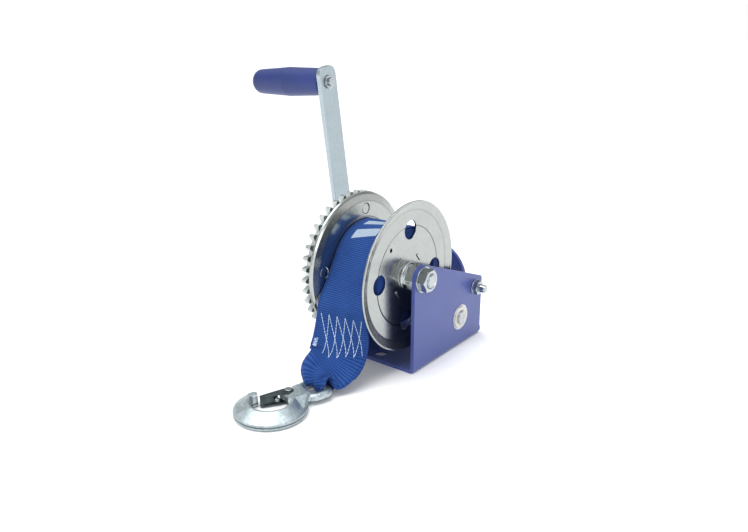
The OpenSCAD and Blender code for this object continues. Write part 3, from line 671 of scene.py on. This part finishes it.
def stitches(name, runs, material):
    """Short thread segments along each run of (u, v) points on the free end."""
    verts, faces = [], []
    for run in runs:
        pts = np.array(run, float)
        dist = distances(pts)
        s = 0.0
        while s < dist[-1] - SHORTEST:
            e = min(s + STITCH, dist[-1])
            rows = []
            for t, r_share, sink in STITCH_FORM:
                d = s + (e - s) * t
                u, v = np.interp(d, dist, pts[:, 0]), np.interp(d, dist, pts[:, 1])
                rows.append((*on_strap(u, v, sink + THREAD_R * 0.4), r_share * THREAD_R))
            dirs = np.gradient(np.array([r[0] for r in rows]), axis=0)
            base = len(verts)
            for (p, n, r), d in zip(rows, dirs):
                d = d / (np.linalg.norm(d) + 1e-9)
                b = np.cross(d, n)
                b /= np.linalg.norm(b) + 1e-9
                n2 = np.cross(b, d)
                for q in range(THREAD_SIDES):
                    a = 2 * math.pi * q / THREAD_SIDES
                    verts.append((p + (n2 * math.sin(a) + b * math.cos(a)) * r) * MM)
            last = base + (len(rows) - 1) * THREAD_SIDES
            for ring in range(base, last, THREAD_SIDES):
                for q in range(THREAD_SIDES):
                    q2 = (q + 1) % THREAD_SIDES
                    faces.append((ring + q, ring + q2, ring + THREAD_SIDES + q2,
                                  ring + THREAD_SIDES + q))
            faces.append(tuple(base + q for q in range(THREAD_SIDES))[::-1])
            faces.append(tuple(last + q for q in range(THREAD_SIDES)))
            s = e + STITCH_GAP
    return add_mesh(name, verts, faces, material)


# Two zigzag rows that cross, and a bar tack at the left edge
PEAKS = 6
TOP_Z, TOP_HALF = 63.0, 20.4
LOW_Z, LOW_U = (28.0, 26.6, 26.6, 27.4, 28.6, 30.0), (-12.5, 21.6)
TACK_Z, TACK_MID_U = 42, -22       # where the tack starts
TACK_U, TACK_STEP, TACK_POINTS = (-19.8, -23.6), 1.0, 13

top_peaks = [(u, v_at_height(u, TOP_Z)) for u in np.linspace(-TOP_HALF, TOP_HALF, PEAKS)]
low_peaks = [(u, v_at_height(u, z)) for u, z in zip(np.linspace(*LOW_U, PEAKS), LOW_Z)]
run_a = [(top_peaks, low_peaks)[k % 2][k] for k in range(PEAKS)]
run_b = [(low_peaks, top_peaks)[k % 2][k] for k in range(PEAKS)]
tack_v = v_at_height(TACK_MID_U, TACK_Z)
tack = [(TACK_U[k % 2], tack_v + k * TACK_STEP) for k in range(TACK_POINTS)]
seam = stitches("strap_stitching", [run_a, run_b, tack], thread())

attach(roll_cloth, "drum")
for cloth in (tail_cloth, seam):
    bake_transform(cloth)


# ---------------------------------------------------------------- studio

FLOOR = 60.0                       # half the floor's side, in m, far beyond any view
AIM = (0, -0.05, 0.1)
SUN_ANGLE = math.radians(50)
SUN_TURN = (math.radians(12), 0, math.radians(-25))
# The world's grey by height, white below: dark enough between for the zinc to reflect it
SKY_WHITE_TO = 0.22
SKY_BANDS = ((0.31, 0.4), (0.5, 0.43), (0.68, 0.8))
SKY_TOP = (0.75, 0.77, 0.8, 1)


def studio_floor():
    """Pale flat floor."""
    m = Mat("studio_floor", Specular_IOR_Level=0.2)
    pale = m.finish(m.mottle(3.0, 3.0, 0.5, (0.96, 0.96, 0.96, 1), (0.94, 0.94, 0.945, 1)), 0.7)
    corners = [(-FLOOR, -FLOOR, 0), (FLOOR, -FLOOR, 0), (FLOOR, FLOOR, 0), (-FLOOR, FLOOR, 0)]
    obj = add_mesh("floor", corners, [(0, 1, 2, 3)], pale)


def area_light(name, place, size, watts):
    """A rectangular light that looks at the winch."""
    data = bpy.data.lights.new(name, "AREA")
    data.shape = "RECTANGLE"
    data.size, data.size_y = size
    data.energy = watts
    obj = add_object(name, data)
    obj.location = place
    obj.rotation_mode = "QUATERNION"
    obj.rotation_quaternion = (Vector(AIM) - Vector(place)).to_track_quat("-Z", "Y")


studio_floor()
area_light("key", (-0.5, -1.1, 1.1), (0.7, 0.7), 3.5)
area_light("fill", (1.4, -0.4, 0.7), (0.5, 0.8), 4)
sun_data = bpy.data.lights.new("sky_light", "SUN")
sun_data.energy = 2.2
sun_data.angle = SUN_ANGLE
add_object("sky_light", sun_data).rotation_euler = SUN_TURN

world = bpy.data.worlds.new("studio")
scene.world = world
world.use_nodes = True
world_nodes, world_links = world.node_tree.nodes, world.node_tree.links
height_of = world_nodes.new("ShaderNodeSeparateXYZ")
ramp = world_nodes.new("ShaderNodeValToRGB")
world_links.new(world_nodes.new("ShaderNodeTexCoord").outputs["Generated"], height_of.inputs[0])
world_links.new(height_of.outputs[2], ramp.inputs[0])
world_links.new(ramp.outputs[0], world_nodes["Background"].inputs[0])
stops = ramp.color_ramp.elements
stops[0].position, stops[0].color = SKY_WHITE_TO, (1, 1, 1, 1)
stops[1].position, stops[1].color = 1.0, SKY_TOP
for place, tone in SKY_BANDS:
    stops.new(place).color = (tone, tone * 1.02, tone * 1.05, 1)
scene.view_settings.view_transform = "Standard"

# The camera, as solved on the photograph
YAW, PITCH = 0.6631, 0.32251
CAMERA_PLACE = (0.3662, -0.5285, 0.2939)

cam_data = bpy.data.cameras.new("camera")
camera = add_object("camera", cam_data)
scene.camera = camera
back = Vector((math.sin(YAW) * math.cos(PITCH), -math.cos(YAW) * math.cos(PITCH),
               math.sin(PITCH)))
right = Vector((math.cos(YAW), math.sin(YAW), 0))
up = back.cross(right)
camera.matrix_world = Matrix([(*row, place) for *row, place in zip(right, up, back, CAMERA_PLACE)]
                             + [(0, 0, 0, 1)])
cam_data.sensor_width = 36
cam_data.lens = 32.9
cam_data.shift_x = -0.00134
cam_data.shift_y = -0.0008
cam_data.clip_start = 0.01
